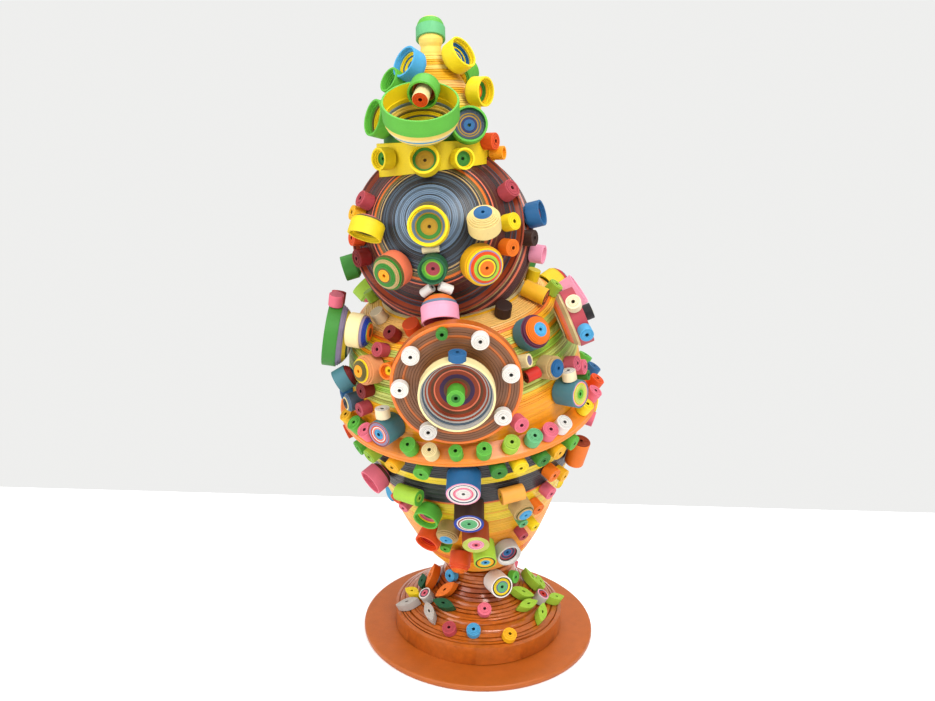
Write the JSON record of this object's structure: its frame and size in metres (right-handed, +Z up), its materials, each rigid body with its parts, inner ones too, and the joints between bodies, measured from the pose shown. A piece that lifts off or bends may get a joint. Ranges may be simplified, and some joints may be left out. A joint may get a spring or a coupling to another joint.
{
  "type": "quilled paper sculpture",
  "caption": "Standing sculpture of coiled paper strips: round foot, leaning cup, domed body, ball, stepped crown, covered in small coils, cups and domes.",
  "frame": {"origin": "centre of the underside of the base disc", "axes": "+Z up, away from the surface that it stands on; the front, with the medallion, faces -Y"},
  "size_m": [0.1268, 0.1501, 0.2838],
  "materials": {
    "black_paper": "matte",
    "blue_paper": "matte",
    "brown_paper": "matte",
    "copper_paper": "satin",
    "cream_paper": "matte",
    "golden_paper": "matte",
    "green_paper": "matte",
    "lime_paper": "matte",
    "maroon_paper": "matte",
    "orange_paper": "matte",
    "pale_yellow_paper": "matte",
    "pink_paper": "matte",
    "red_paper": "matte",
    "slate_paper": "matte",
    "tan_paper": "matte",
    "teal_paper": "matte",
    "white_paper": "matte",
    "yellow_paper": "matte"
  },
  "bodies": {
    "root": {"band_cups": "yellow_paper", "base_disc": "copper_paper", "blue_coils": "blue_paper", "body": "golden_paper", "body_cups": "blue_paper", "body_domes": "tan_paper", "bowl": "black_paper", "bowl_cups": "pink_paper", "bowl_domes": "tan_paper", "bowl_rolls": "blue_paper", "brown_coils": "brown_paper", "cone": "pale_yellow_paper", "core_roll": "green_paper", "cream_coils": "cream_paper", "crown_band": "yellow_paper", "crown_bowl": "green_paper", "crown_cups": "yellow_paper", "crown_front_cup": "green_paper", "crown_front_roll": "pale_yellow_paper", "crown_plate": "green_paper", "finial_cap": "green_paper", "flower_eyes": "pink_paper", "foot": "brown_paper", "green_coils": "green_paper", "head_back": "maroon_paper", "head_bell": "pink_paper", "head_bells": "cream_paper", "head_centre_cup": "yellow_paper", "head_cups": "blue_paper", "head_front": "slate_paper", "head_side_domes": "orange_paper", "head_small_cup": "green_paper", "ledge": "orange_paper", "ledge_rolls": "teal_paper", "left_side_cup": "green_paper", "lime_coils": "lime_paper", "lying_rolls": "orange_paper", "medal_coils": "white_paper", "medallion": "brown_paper", "neck": "pale_yellow_paper", "orange_coils": "orange_paper", "petals": "lime_paper", "pink_coils": "pink_paper", "red_coils": "red_paper", "right_side_cup": "orange_paper", "ring_coil": "blue_paper", "ring_cup": "cream_paper", "side_cup_cores": "red_paper", "stem_roll": "white_paper", "target_cup": "green_paper", "white_coils": "white_paper", "yellow_coils": "yellow_paper"}
  },
  "joints": []
}
